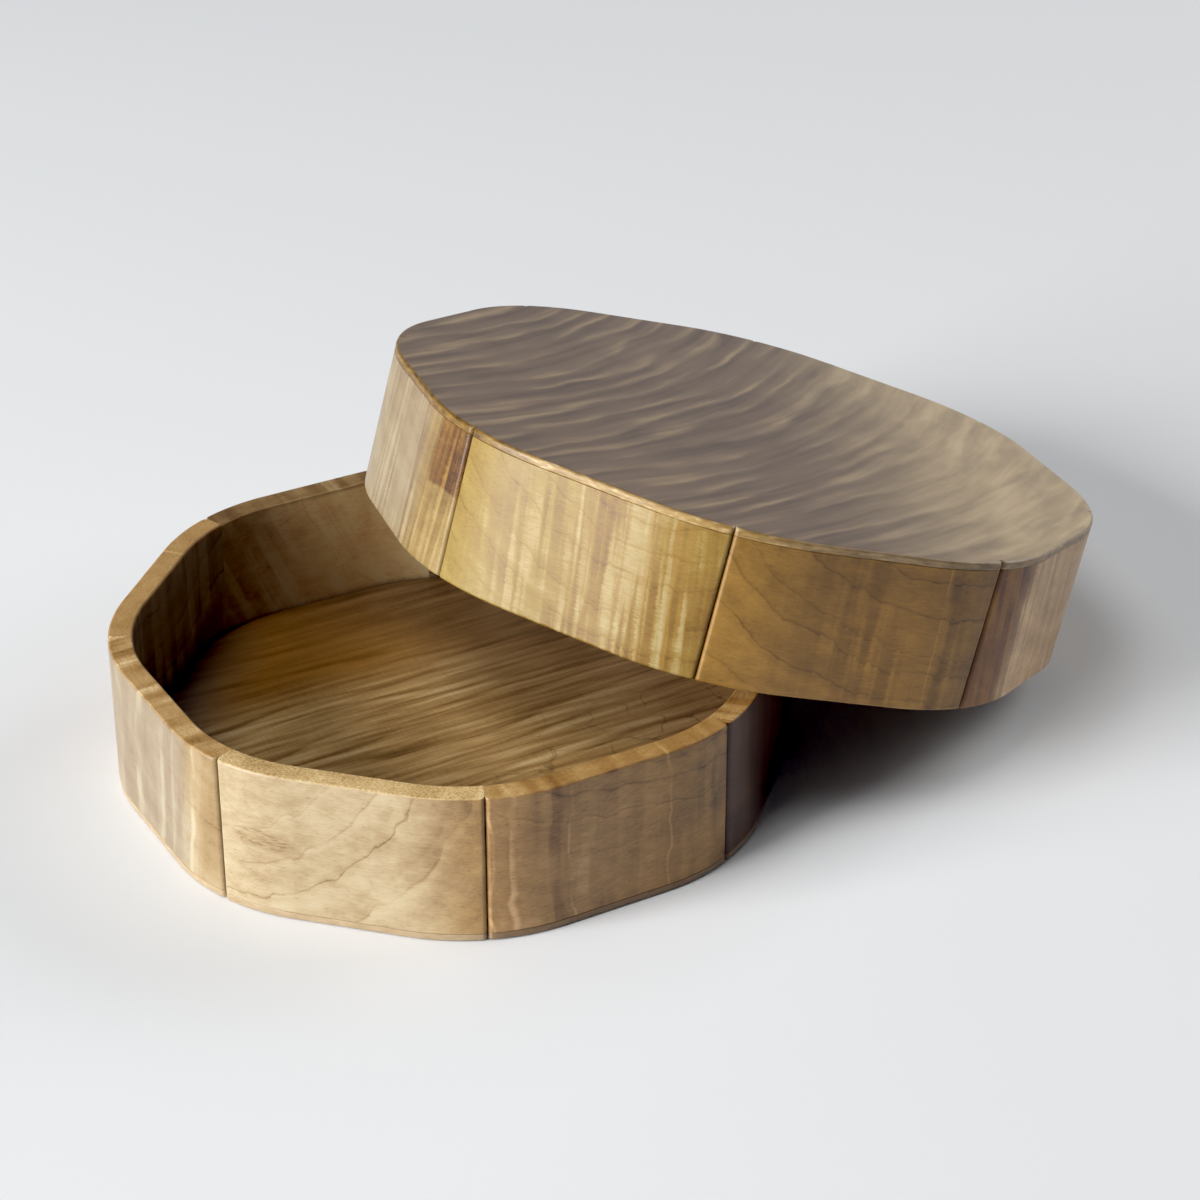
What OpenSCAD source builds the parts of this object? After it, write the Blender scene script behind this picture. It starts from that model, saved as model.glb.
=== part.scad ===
// Eight-sided bento box of figured hardwood.
// The base and the lid are coopered alike: eight staves with bent ends stand mitred in a ring,
// and a panel closes the ring, its tongue inside the staves and its lip under or over their ends.
// The lid is the larger one, so that it slips over the base. Here it leans on the base's rim,
// its lowest edge on the table. Lengths are in millimetres, +Z is up, and the origin is the centre
// of the base's underside, with flats of the base facing along X and Y.

/* [Base] */
// Width of the base across its flats
base_across = 160; // [130:1:200]
// Height of the base, from the table to its rim
base_height = 38; // [28:1:60]
// Thickness of the base staves
base_wall = 6; // [4:0.5:9]
// Outside radius of the eight bends of the base
bend_radius = 48; // [30:1:58]
// Thickness of the bottom panel at its middle
bottom_thickness = 6.5; // [4:0.5:9]
// Thickness of the bottom panel's lip under the staves
bottom_lip = 2; // [1.6:0.1:3.5]

/* [Lid] */
// Gap all round between the base and the lid when the lid is on
lid_clearance = 1.2; // [0.6:0.1:2.5]
// Thickness of the lid staves
lid_wall = 7; // [4:0.5:9]
// Height of the lid, from its rim to its top
lid_height = 38; // [28:1:60]
// Thickness of the top panel at its middle
top_thickness = 6.5; // [4:0.5:9]
// Thickness of the top panel's lip over the staves
top_lip = 2; // [1.6:0.1:3.5]

/* [Joints and edges] */
// Gap between a panel's tongue and the staves around it
tongue_gap = 0.1; // [0.05:0.05:0.3]
// Radius of the staves' rounded arrises, and depth of the groove that they make at each corner
arris_radius = 1.2; // [0.6:0.1:2]
// Radius of the eased edges of both rims
rim_ease = 0.6; // [0.3:0.1:1.2]

/* [Lid at rest] */
// Distance between the base's centre and the centre of the lid's rim, seen from above
lid_reach = 80; // [65:1:100]
// Bearing of the lid's centre, from the X axis
lid_bearing = 7; // [-20:0.5:20]
// Bearing of the lid's downhill slope, from the X axis
lean_bearing = 6; // [-20:0.5:20]
// Turn of the lid about its own axis, from the base's flats
lid_turn = -12.8; // [-22.5:0.1:22.5]
// Gap left where the lid leans on the base's rim
rest_gap = 0.3; // [0.1:0.1:1]

/* [Hidden] */
$fn = 96;
sides = 8;
turn = 360 / sides;
half_turn = turn / 2;
// Length by which a cut passes the face that it opens
overcut = 1;

base_apothem = base_across / 2;
lid_offset = lid_clearance + lid_wall;
lid_apothem = base_apothem + lid_offset;
lid_bend = bend_radius + lid_offset;
lid_mouth_apothem = base_apothem + lid_clearance;
lid_mouth_bend = bend_radius + lid_clearance;

stave_tone = "#C6A56C";
panel_tone = "#8F7650";

// Angle between a bearing and the nearest flat's normal
function off_flat(bearing) = abs(bearing - turn * round(bearing / turn));

// Distance from an outline's centre to its corner-arc centres
function bend_centre(apothem, bend) = (apothem - bend) / cos(half_turn);

// Half the length of an outline's straight stretches
function half_flat(apothem, bend) = (apothem - bend) * tan(half_turn);

// Radius of an outline at a bearing from its first flat's normal
function outline_radius(apothem, bend, bearing) =
    let (
        off = off_flat(bearing),
        centre = bend_centre(apothem, bend),
        from_corner = half_turn - off
    )
    off <= atan(half_flat(apothem, bend) / apothem)
        ? apothem / cos(off)
        : centre * cos(from_corner) + sqrt(bend ^ 2 - (centre * sin(from_corner)) ^ 2);

// How far an outline reaches along a bearing
function outline_reach(apothem, bend, bearing) =
    bend + bend_centre(apothem, bend) * cos(half_turn - off_flat(bearing));

// The lean is found by halving: the lid's lowest edge stays on the table,
// and its mouth clears the base's rim by the rest gap where the two outlines cross.
rim_samples = 720;
lean_steps = 24;
lean_limits = [3, 45];
downhill = [cos(lean_bearing), sin(lean_bearing)];

function rim_centre(lean) = [
    lid_reach * cos(lid_bearing),
    lid_reach * sin(lid_bearing),
    (outline_reach(lid_apothem, lid_bend, lean_bearing - lid_turn) - rim_ease) * sin(lean)
        + rim_ease * (1 - cos(lean))
];

function mouth_point(bearing, lean) =
    let (
        radius = outline_radius(lid_mouth_apothem, lid_mouth_bend, bearing),
        flat = radius * [cos(bearing + lid_turn), sin(bearing + lid_turn)],
        along = flat * downhill,
        tipped = flat + downhill * along * (cos(lean) - 1)
    )
    rim_centre(lean) + [tipped.x, tipped.y, -along * sin(lean)];

function over_base(p) =
    norm([p.x, p.y]) <= outline_radius(base_apothem, bend_radius, atan2(p.y, p.x));

function mouth_height(lean) = min([
    for (i = [0 : rim_samples - 1])
        let (p = mouth_point(i * 360 / rim_samples, lean))
        if (over_base(p)) p.z
]);

function find_lean(low, high, steps) =
    let (middle = (low + high) / 2)
    steps == 0 ? high
    : mouth_height(middle) > base_height + rest_gap ? find_lean(low, middle, steps - 1)
    : find_lean(middle, high, steps - 1);

lid_lean = find_lean(lean_limits[0], lean_limits[1], lean_steps);

// Outline of a ring of staves, as a flat shape
module outline(apothem, bend) {
    side = half_flat(apothem, bend);
    polygon([
        for (i = [0 : sides - 1], end = [-1, 1])
            [
                apothem * cos(i * turn) - end * side * sin(i * turn),
                apothem * sin(i * turn) + end * side * cos(i * turn)
            ]
    ]);
    for (i = [0 : sides - 1])
        rotate(i * turn + half_turn)
            translate([bend_centre(apothem, bend), 0])
                circle(bend);
}

// Sweeps a profile along one side: half a bend, a straight stretch and half a bend.
// The profile's x runs outwards from the bend's centre, and its y is height.
module side_sweep(apothem, bend) {
    side = half_flat(apothem, bend);
    translate([apothem - bend, side, 0])
        rotate([90, 0, 0])
            linear_extrude(2 * side)
                children();
    for (end = [0, 1])
        mirror([0, end, 0])
            translate([apothem - bend, side, 0])
                rotate_extrude(angle = half_turn)
                    children();
}

// Section of a stave: square at the panel, eased at the rim
module stave_profile(bend, wall, low, high) {
    translate([bend - wall, low])
        square([wall, high - rim_ease - low]);
    translate([bend - wall + rim_ease, low])
        square([wall - 2 * rim_ease, high - low]);
    for (x = [bend - wall + rim_ease, bend - rim_ease])
        translate([x, high - rim_ease])
            circle(rim_ease);
}

// What rounding takes off the arris at a stave's end.
// The origin is the bend's centre, the X axis is the mitre, and the stave lies below it.
module arris_waste(bend) {
    foot = sqrt(bend ^ 2 - 2 * bend * arris_radius);
    far = bend + overcut;
    difference() {
        polygon([
            [foot, -arris_radius],
            [foot, overcut],
            [far, overcut],
            [far, -far * arris_radius / foot]
        ]);
        translate([foot, -arris_radius])
            circle(arris_radius);
    }
}

// One stave on the X axis, standing on its panel's lip
module stave(apothem, bend, wall, lip, height) {
    difference() {
        side_sweep(apothem, bend)
            stave_profile(bend, wall, lip, height);
        for (end = [0, 1])
            mirror([0, end, 0])
                translate([apothem - bend, half_flat(apothem, bend), 0])
                    rotate(half_turn)
                        linear_extrude(height + overcut)
                            arris_waste(bend);
    }
}

// V notches that carry the staves' grooves on through a panel's lip
module corner_notches(apothem, bend) {
    half_width = arris_radius + overcut;
    for (i = [0 : sides - 1])
        rotate(i * turn + half_turn)
            translate([bend_centre(apothem, bend) + bend, 0])
                polygon([[-arris_radius, 0], [overcut, half_width], [overcut, -half_width]]);
}

// A panel with its lip below and its tongue above
module panel(apothem, bend, wall, lip, thickness) {
    inset = wall + tongue_gap;
    linear_extrude(lip)
        difference() {
            outline(apothem, bend);
            corner_notches(apothem, bend);
        }
    linear_extrude(thickness)
        outline(apothem - inset, bend - inset);
}

// Puts lid pieces, built rim up, into the lid's resting place
module leaning_lid() {
    translate(rim_centre(lid_lean))
        rotate(a = lid_lean, v = [-downhill.y, downhill.x, 0])
            rotate(lid_turn)
                translate([0, 0, lid_height])
                    mirror([0, 0, 1])
                        children();
}

module base_bottom_panel() {
    color(panel_tone)
        panel(base_apothem, bend_radius, base_wall, bottom_lip, bottom_thickness);
}

module base_stave(i) {
    color(stave_tone)
        rotate((i - 1) * turn)
            stave(base_apothem, bend_radius, base_wall, bottom_lip, base_height);
}

module lid_top_panel() {
    color(panel_tone)
        leaning_lid()
            panel(lid_apothem, lid_bend, lid_wall, top_lip, top_thickness);
}

module lid_stave(i) {
    color(stave_tone)
        leaning_lid()
            rotate((i - 1) * turn)
                stave(lid_apothem, lid_bend, lid_wall, top_lip, lid_height);
}

base_bottom_panel();
for (i = [1 : sides]) base_stave(i);
lid_top_panel();
for (i = [1 : sides]) lid_stave(i);
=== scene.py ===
import math

import bmesh
import bpy
from mathutils import Matrix, Vector


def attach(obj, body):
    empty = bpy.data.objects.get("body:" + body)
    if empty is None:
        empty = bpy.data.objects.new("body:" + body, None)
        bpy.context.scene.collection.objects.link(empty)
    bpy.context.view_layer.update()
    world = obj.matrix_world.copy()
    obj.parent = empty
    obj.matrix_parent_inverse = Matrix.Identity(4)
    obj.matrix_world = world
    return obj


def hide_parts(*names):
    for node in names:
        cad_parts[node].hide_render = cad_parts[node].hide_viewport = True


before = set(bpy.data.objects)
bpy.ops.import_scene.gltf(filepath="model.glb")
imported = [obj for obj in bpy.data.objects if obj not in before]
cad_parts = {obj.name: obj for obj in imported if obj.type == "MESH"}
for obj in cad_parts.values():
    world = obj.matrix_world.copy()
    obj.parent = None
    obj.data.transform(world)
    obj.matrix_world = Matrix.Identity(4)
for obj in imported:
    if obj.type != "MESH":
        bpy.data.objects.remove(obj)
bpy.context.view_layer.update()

# Sizes of the bento box in millimetres, the same driving sizes as the solids
MM = 0.001
SIDES = 8
HALF_TURN = math.pi / SIDES
BASE_APOTHEM = 80.0
BASE_BEND = 48.0
BASE_HEIGHT = 38.0
BASE_WALL = 6.0
LID_CLEARANCE = 1.2
LID_WALL = 7.0
LID_APOTHEM = BASE_APOTHEM + LID_CLEARANCE + LID_WALL
LID_BEND = BASE_BEND + LID_CLEARANCE + LID_WALL
LID_HEIGHT = 38.0
PANEL_LIP = 2.0
PANEL_THICKNESS = 6.5
TONGUE_GAP = 0.1
ARRIS_RADIUS = 1.2
RIM_EASE = 0.6

# Radii of eased edges that only the eye needs, and the narrow ring that keeps a panel's flat face flat
SEAM_EASE = 0.22
LIP_EASE = 0.8
TONGUE_EASE = 0.25
FLAT_MARGIN = 0.5

# Where the lid leans, with the lean that the solids' source works out
LID_REACH = 80.0
LID_BEARING = math.radians(7)
LEAN_BEARING = math.radians(6)
LID_TURN = math.radians(-12.8)
LID_LEAN = math.radians(16.9731)

# Steps of the curves, and the turn above which an edge stays sharp
FLAT_STEPS = 3
BEND_STEPS = 16
ROUND_STEPS = 7
EASE_STEPS = 5
SHARP_TURN = math.radians(40)


def reach_along(apothem, bend, bearing):
    """How far a ring of staves reaches along a bearing from its first flat."""
    turn = 2 * HALF_TURN
    off_flat = abs(bearing - turn * round(bearing / turn))
    corner = (apothem - bend) / math.cos(HALF_TURN)
    return bend + corner * math.cos(HALF_TURN - off_flat)


def lid_place():
    """The lid's frame: its rim's centre at the origin, its top along +Z."""
    reach = reach_along(LID_APOTHEM, LID_BEND, LEAN_BEARING - LID_TURN)
    height = (reach - RIM_EASE) * math.sin(LID_LEAN) + RIM_EASE * (1 - math.cos(LID_LEAN))
    centre = Vector((LID_REACH * math.cos(LID_BEARING), LID_REACH * math.sin(LID_BEARING), height))
    axle = Vector((-math.sin(LEAN_BEARING), math.cos(LEAN_BEARING), 0))
    lean = Matrix.Rotation(LID_LEAN, 4, axle)
    return Matrix.Translation(centre * MM) @ lean @ Matrix.Rotation(LID_TURN, 4, "Z")


def side_stations(apothem, bend):
    """Plan of one side from mitre to mitre: bend centre, heading and outer radius at each station."""
    flat = (apothem - bend) * math.tan(HALF_TURN)
    half = [((apothem - bend, flat * k / FLAT_STEPS), 0.0, bend) for k in range(FLAT_STEPS)]
    centre = (apothem - bend, flat)
    foot = math.sqrt(bend**2 - 2 * bend * ARRIS_RADIUS)
    touch = math.asin(ARRIS_RADIUS / (bend - ARRIS_RADIUS))
    for k in range(BEND_STEPS + 1):
        half.append((centre, (HALF_TURN - touch) * k / BEND_STEPS, bend))
    for k in range(1, ROUND_STEPS + 1):
        angle = -touch + (math.pi / 2 + touch) * k / ROUND_STEPS
        out = foot + ARRIS_RADIUS * math.cos(angle)
        off = ARRIS_RADIUS * (math.sin(angle) - 1)
        half.append((centre, HALF_TURN + math.atan2(off, out), math.hypot(out, off)))
    mirrored = [((x, -y), -heading, radius) for (x, y), heading, radius in half[:0:-1]]
    return mirrored + half


def plan_point(station, radius):
    """Where a radius from a station's bend centre ends, seen from above."""
    (x, y), heading, _ = station
    return x + radius * math.cos(heading), y + radius * math.sin(heading)


def eased_corner(radius_at, height_at, ease, turn_from):
    """Points of a quarter round about a corner's centre, starting at an angle and turning clockwise."""
    points = []
    for k in range(EASE_STEPS + 1):
        angle = math.radians(turn_from - 90 * k / EASE_STEPS)
        points.append((radius_at + ease * math.cos(angle), height_at + ease * math.sin(angle)))
    return points


def stave_section(inner, outer, length):
    """Section of a stave at one station, as radius and distance from its panel."""
    section = [(inner, 0.0)]
    section += eased_corner(inner + RIM_EASE, length - RIM_EASE, RIM_EASE, 180)
    section += eased_corner(outer - RIM_EASE, length - RIM_EASE, RIM_EASE, 90)
    section += eased_corner(outer - SEAM_EASE, SEAM_EASE, SEAM_EASE, 0)
    return section


def make_piece(name, points, faces, place, wood, body):
    """A piece of wood from points in millimetres, in the place of the solid that it stands for."""
    mesh = bpy.data.meshes.new(name)
    mesh.from_pydata([place @ (Vector(p) * MM) for p in points], [], faces)
    shape = bmesh.new()
    shape.from_mesh(mesh)
    bmesh.ops.recalc_face_normals(shape, faces=shape.faces)
    shape.to_mesh(mesh)
    shape.free()
    mesh.polygons.foreach_set("use_smooth", [True] * len(mesh.polygons))
    mesh.set_sharp_from_angle(angle=SHARP_TURN)
    mesh.materials.append(wood)
    piece = bpy.data.objects.new("shaped_" + name, mesh)
    bpy.context.scene.collection.objects.link(piece)
    piece.modifiers.new("flats stay flat", "WEIGHTED_NORMAL").keep_sharp = True
    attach(piece, body)
    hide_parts(name)


def make_stave(name, apothem, bend, wall, height_of, length, place, wood, body):
    """One stave: an eased section swept along a bend, a flat and a bend, with rounded arrises."""
    points = []
    faces = []
    stations = side_stations(apothem, bend)
    for station in stations:
        for radius, along in stave_section(bend - wall, station[2], length):
            points.append((*plan_point(station, radius), height_of(along)))
    count = len(points) // len(stations)
    for i in range(len(stations) - 1):
        for k in range(count):
            a, b = i * count + k, i * count + (k + 1) % count
            faces.append((a, b, b + count, a + count))
    faces.append(tuple(range(count)))
    faces.append(tuple(range(len(points) - count, len(points))))
    make_piece(name, points, faces, place, wood, body)


def make_panel(name, apothem, bend, wall, height_of, place, wood, body):
    """A panel: a lip with eased edges and a notch at each corner, and a tongue inside the staves."""
    tongue = bend - wall - TONGUE_GAP
    layers = [("lip", FLAT_MARGIN + LIP_EASE, 0.0)]
    layers += [("lip", -r, h) for r, h in reversed(eased_corner(-LIP_EASE, LIP_EASE, LIP_EASE, 0))]
    layers += [("lip", -r, h) for r, h in
               reversed(eased_corner(-SEAM_EASE, PANEL_LIP - SEAM_EASE, SEAM_EASE, 90))]
    layers += [("tongue", 0.0, PANEL_LIP)]
    layers += [("tongue", -r, h) for r, h in
               reversed(eased_corner(-TONGUE_EASE, PANEL_THICKNESS - TONGUE_EASE, TONGUE_EASE, 90))]
    layers += [("tongue", FLAT_MARGIN + TONGUE_EASE, PANEL_THICKNESS)]
    stations = side_stations(apothem, bend)[:-1]
    points = []
    for part, inset, height in layers:
        for side in range(SIDES):
            cos, sin = math.cos(2 * HALF_TURN * side), math.sin(2 * HALF_TURN * side)
            for station in stations:
                x, y = plan_point(station, (station[2] if part == "lip" else tongue) - inset)
                points.append((x * cos - y * sin, x * sin + y * cos, height_of(height)))
    count = SIDES * len(stations)
    faces = []
    for layer in range(len(layers) - 1):
        for k in range(count):
            a, b = layer * count + k, layer * count + (k + 1) % count
            faces.append((a, b, b + count, a + count))
    faces.append(tuple(range(count)))
    faces.append(tuple(range(len(points) - count, len(points))))
    make_piece(name, points, faces, place, wood, body)


# Materials

# Sockets of the node that mixes two shades
FACTOR, SHADE_A, SHADE_B, MIXED = 0, 6, 7, 2
# Places of a wood's four tones on its scale from dark to pale
TONE_PLACES = (0.0, 0.3, 0.55, 0.85)
# Largest radius of a growth line, and how far streaks reach from a stave's middle
RING_SPAN = 100.0
STREAK_REACH = 40.0
# Curl as strong at one end of a stave as at the other
EVEN = ((0.0, 1.0), (1.0, 1.0))
# Painted light: a stave is lighter towards its foot, where the table throws light back, and darker towards
# its upper edge, by this much tone a millimetre
FOOT_BOUNCE_LIGHT = -0.003
# Painted shade on inner faces, a dark tone that is painted shade in grooves and seams and the colour of
# cracks, and threads of resin
INNER_SHADE_TONES = ("#463C32", "#6E614F", "#887B65", "#A59780")
SHADE_AND_CRACK_TONE = "#3A2614"
RESIN = "#A87434"

# Sizes of the staves' figure in millimetres: through the wall, round the box and up the stave.
# Fibres, pores and cut fibres are far finer in the wood, and are drawn coarse enough to show.
FIBRE_SIZE = (0.5, 3.4, 0.4)
PORE_SIZE = (0.4, 1.4, 0.3)
CUT_FIBRE_SIZE = (0.4, 0.7, 0.4)
SPOT_SIZE = (3.0, 5.0, 2.6)
CLOUD_SIZE = (12.0, 26.0, 12.0)
CURL_THROUGH, CURL_HEIGHT = 60.0, 48.0
CURL_FRAY = 1.1
CURL_PATCH_SIZE = (30.0, 15.0, 24.0)
LINE_FADE_SIZE = (9.0, 9.0, 9.0)
STREAK_SWAY_SIZE = (40.0, 25.0, 11.0)
STREAK_FADE_SIZE = (20.0, 6.0, 14.0)
YEAR_WIDTH = 5.0
# Growth rings are stretched through the wall, by this share
RING_THROUGH = 0.4
STAVE_DRIFT, STAVE_DRIFT_REACH = 18.0, 8.0
# A stain's edges are this soft
STAIN_EDGE_ROUND, STAIN_EDGE_UP = 0.4, 0.5
# Under the rim, the inner face's painted shading begins between these depths
RIM_UNSHADED, RIM_SHADED = 0.4, 1.6
# Staves come from places this far apart in the log
LOG_STEP_THROUGH, LOG_STEP_ROUND = 31.0, 170.0
# How far each part of the figure moves a stave's tone
STAVE_TONE = 0.5
YEAR_DEPTH = 0.22
FIBRE_DEPTH = 0.3
STREAK_DEPTH = 0.7
PORE_DEPTH = -0.18
KNOT_DEPTH = -0.4
STAIN_STRETCH, STAIN_SHIFT = 1.45, -0.22

# Sizes of the panels' figure in millimetres: along the stripes, across them and through the board.
# Their fibres, too, are drawn coarse enough to show.
PANEL_FIBRE_SIZE = (0.45, 5.0, 1.0)
WANDER_SIZE = (110.0, 26.0, 1.0)
STRIPE_FADE_SIZE = (50.0, 11.0, 1.0)
QUILT_SIZE = (28.0, 5.0, 1.0)
PANEL_CLOUD_SIZE = (30.0, 30.0, 30.0)
LIP_MOTTLE_SIZE = (3.5, 3.5, 0.9)
PANEL_DRIFT = 40.0
CRACK_SPACING = 13.0
CRACK_DRIFT, CRACK_DRIFT_REACH = 7.0, 9.0
CRACK_FADE_SIZE = (10.0, 10.0, 10.0)
# Half widths of a crack, where it starts and where it is full, as shares of the spacing
CRACK_OUTER, CRACK_INNER = 0.022, 0.006
# The lip's edge darkens between these places, towards -X
DARK_LIP_FROM, DARK_LIP_TO = -72.0, -84.0
# How far each part of the figure moves a panel's tone
PANEL_TONE = 0.45
LIP_TONE = 0.47
STRIPE_MIDDLE = 0.4
PANEL_FIBRE_DEPTH = 0.18
PANEL_CLOUD_DEPTH = 0.35

# How near a wall has to be for painted shade to gather, how much of it, and how high above the foot it starts
GROOVE_REACH = 2.0
GROOVE_SHADE = 0.42
FOOT_CLEAR, FOOT_SHADED = 0.6, 1.6
# A satin oil finish, rougher on some fibres than on others
SATIN_LOW, SATIN_HIGH = 0.3, 0.46
WOOD_IOR = 1.5
# Planed fibres stand a few hundredths of a millimetre proud, and bands of curl a little more
FIBRE_HEIGHT = 0.05
FIBRE_RELIEF = 0.25
CURL_RELIEF = 1.2


def linear(hex_tone):
    """An sRGB hex tone as linear light."""
    shade = []
    for k in (1, 3, 5):
        c = int(hex_tone[k:k + 2], 16) / 255
        shade.append(c / 12.92 if c <= 0.04045 else ((c + 0.055) / 1.055) ** 2.4)
    return (*shade, 1.0)


def grey(level):
    """A level as a shade, for a ramp that carries a number."""
    return (level, level, level, 1.0)


def add(tree, kind, links=None, stops=None, **settings):
    """Adds a node with its settings, links and ramp stops, and gives its outputs."""
    node = tree.nodes.new(kind)
    for name, value in settings.items():
        setattr(node, name, value)
    for socket, value in (links or {}).items():
        if isinstance(value, bpy.types.NodeSocket):
            tree.links.new(value, node.inputs[socket])
        else:
            node.inputs[socket].default_value = value
    if stops:
        ends = node.color_ramp.elements
        ends[0].position, ends[0].color = stops[0]
        ends[1].position, ends[1].color = stops[-1]
        for place, shade in stops[1:-1]:
            ends.new(place).color = shade
    return node.outputs


def own_place(tree, place):
    """Millimetres and facing in a piece's own frame, which the wood was sawn in."""
    spot = add(tree, "ShaderNodeTexCoord")
    own = add(tree, "ShaderNodeMapping", {"Vector": spot["Object"], "Location": place.to_translation(),
                                          "Rotation": place.to_euler()}, vector_type="TEXTURE")[0]
    facing = add(tree, "ShaderNodeMapping", {
        "Vector": spot["Normal"], "Rotation": place.inverted().to_euler()}, vector_type="VECTOR")[0]
    return add(tree, "ShaderNodeVectorMath", {0: own, "Scale": 1 / MM}, operation="SCALE")[0], facing


def figure(tree, spot, lengths, detail=2.0, swirl=0.0):
    """An uneven pattern between 0 and 1, with parts about this long in millimetres each way."""
    spot = add(tree, "ShaderNodeVectorMath", {0: spot, 1: [1 / length for length in lengths]},
               operation="MULTIPLY")[0]
    return add(tree, "ShaderNodeTexNoise", {"Vector": spot, "Scale": 1.0, "Detail": detail,
                                              "Distortion": swirl})


def drifting(tree, mm, log, length, sway):
    """The place of the grain after a slow drift with finer jogs, which bends every line a little."""
    drift = figure(tree, log, (length, length, length), 5.0)["Color"]
    drift = add(tree, "ShaderNodeVectorMath", {0: drift, 1: (0.5, 0.5, 0.5)}, operation="SUBTRACT")[0]
    return add(tree, "ShaderNodeVectorMath", {0: drift, 1: sway, 2: mm}, operation="MULTIPLY_ADD")[0]


def gather(tree, tone, parts):
    """One tone from many parts, each with its depth and its own middle."""
    tone -= sum(depth * middle for _, depth, middle in parts)
    for part, depth, _ in parts:
        tone = add(tree, "ShaderNodeMath", {0: part, 1: depth, 2: tone}, operation="MULTIPLY_ADD")[0]
    return tone


def tone_shade(tree, tone, tones):
    """Wood colour by tone, through hex tones from dark to pale."""
    stops = [(p, linear(t)) for p, t in zip(TONE_PLACES, tones)]
    return add(tree, "ShaderNodeValToRGB", {0: tone}, stops=stops)[0]


def other_tones(tree, share, shade, tone, tones):
    """Wood that takes on other tones by a share: a stain, the far end of a stave, a rim of cut fibres,
    painted light and shade.
    """
    return add(tree, "ShaderNodeMix", {FACTOR: share, SHADE_A: shade, SHADE_B: tone_shade(tree, tone, tones)},
               data_type="RGBA")[MIXED]


def growth_stops(rings, lead):
    """Thin dark lines, 0.2 mm wide, where a year's growth ends: a shaded lead, then a sharp end."""
    stops = [(0.0, grey(0))]
    passed = 0.0
    for radius, depth in rings:
        start = max(radius - lead, passed + 0.1)
        passed = radius + 0.2
        for place, level in ((start, 0.0), (radius - 0.25, 0.2), (radius - 0.1, 1.0), (radius + 0.1, 1.0),
                             (passed, 0.0)):
            stops.append((place / RING_SPAN, grey(level * depth)))
    return stops + [(1.0, grey(0))]


def streak_stops(streaks, none):
    """Streaks across a stave, each with its middle, width and level, and the level where there are none."""
    stops = [(0.0, grey(none))]
    for middle, width, level in streaks:
        for offset, value in ((-0.5, none), (-0.36, level), (0.1, level), (0.5, none)):
            stops.append(((middle + offset * width + STREAK_REACH) / (2 * STREAK_REACH), grey(value)))
    return stops + [(1.0, grey(none))]


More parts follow.
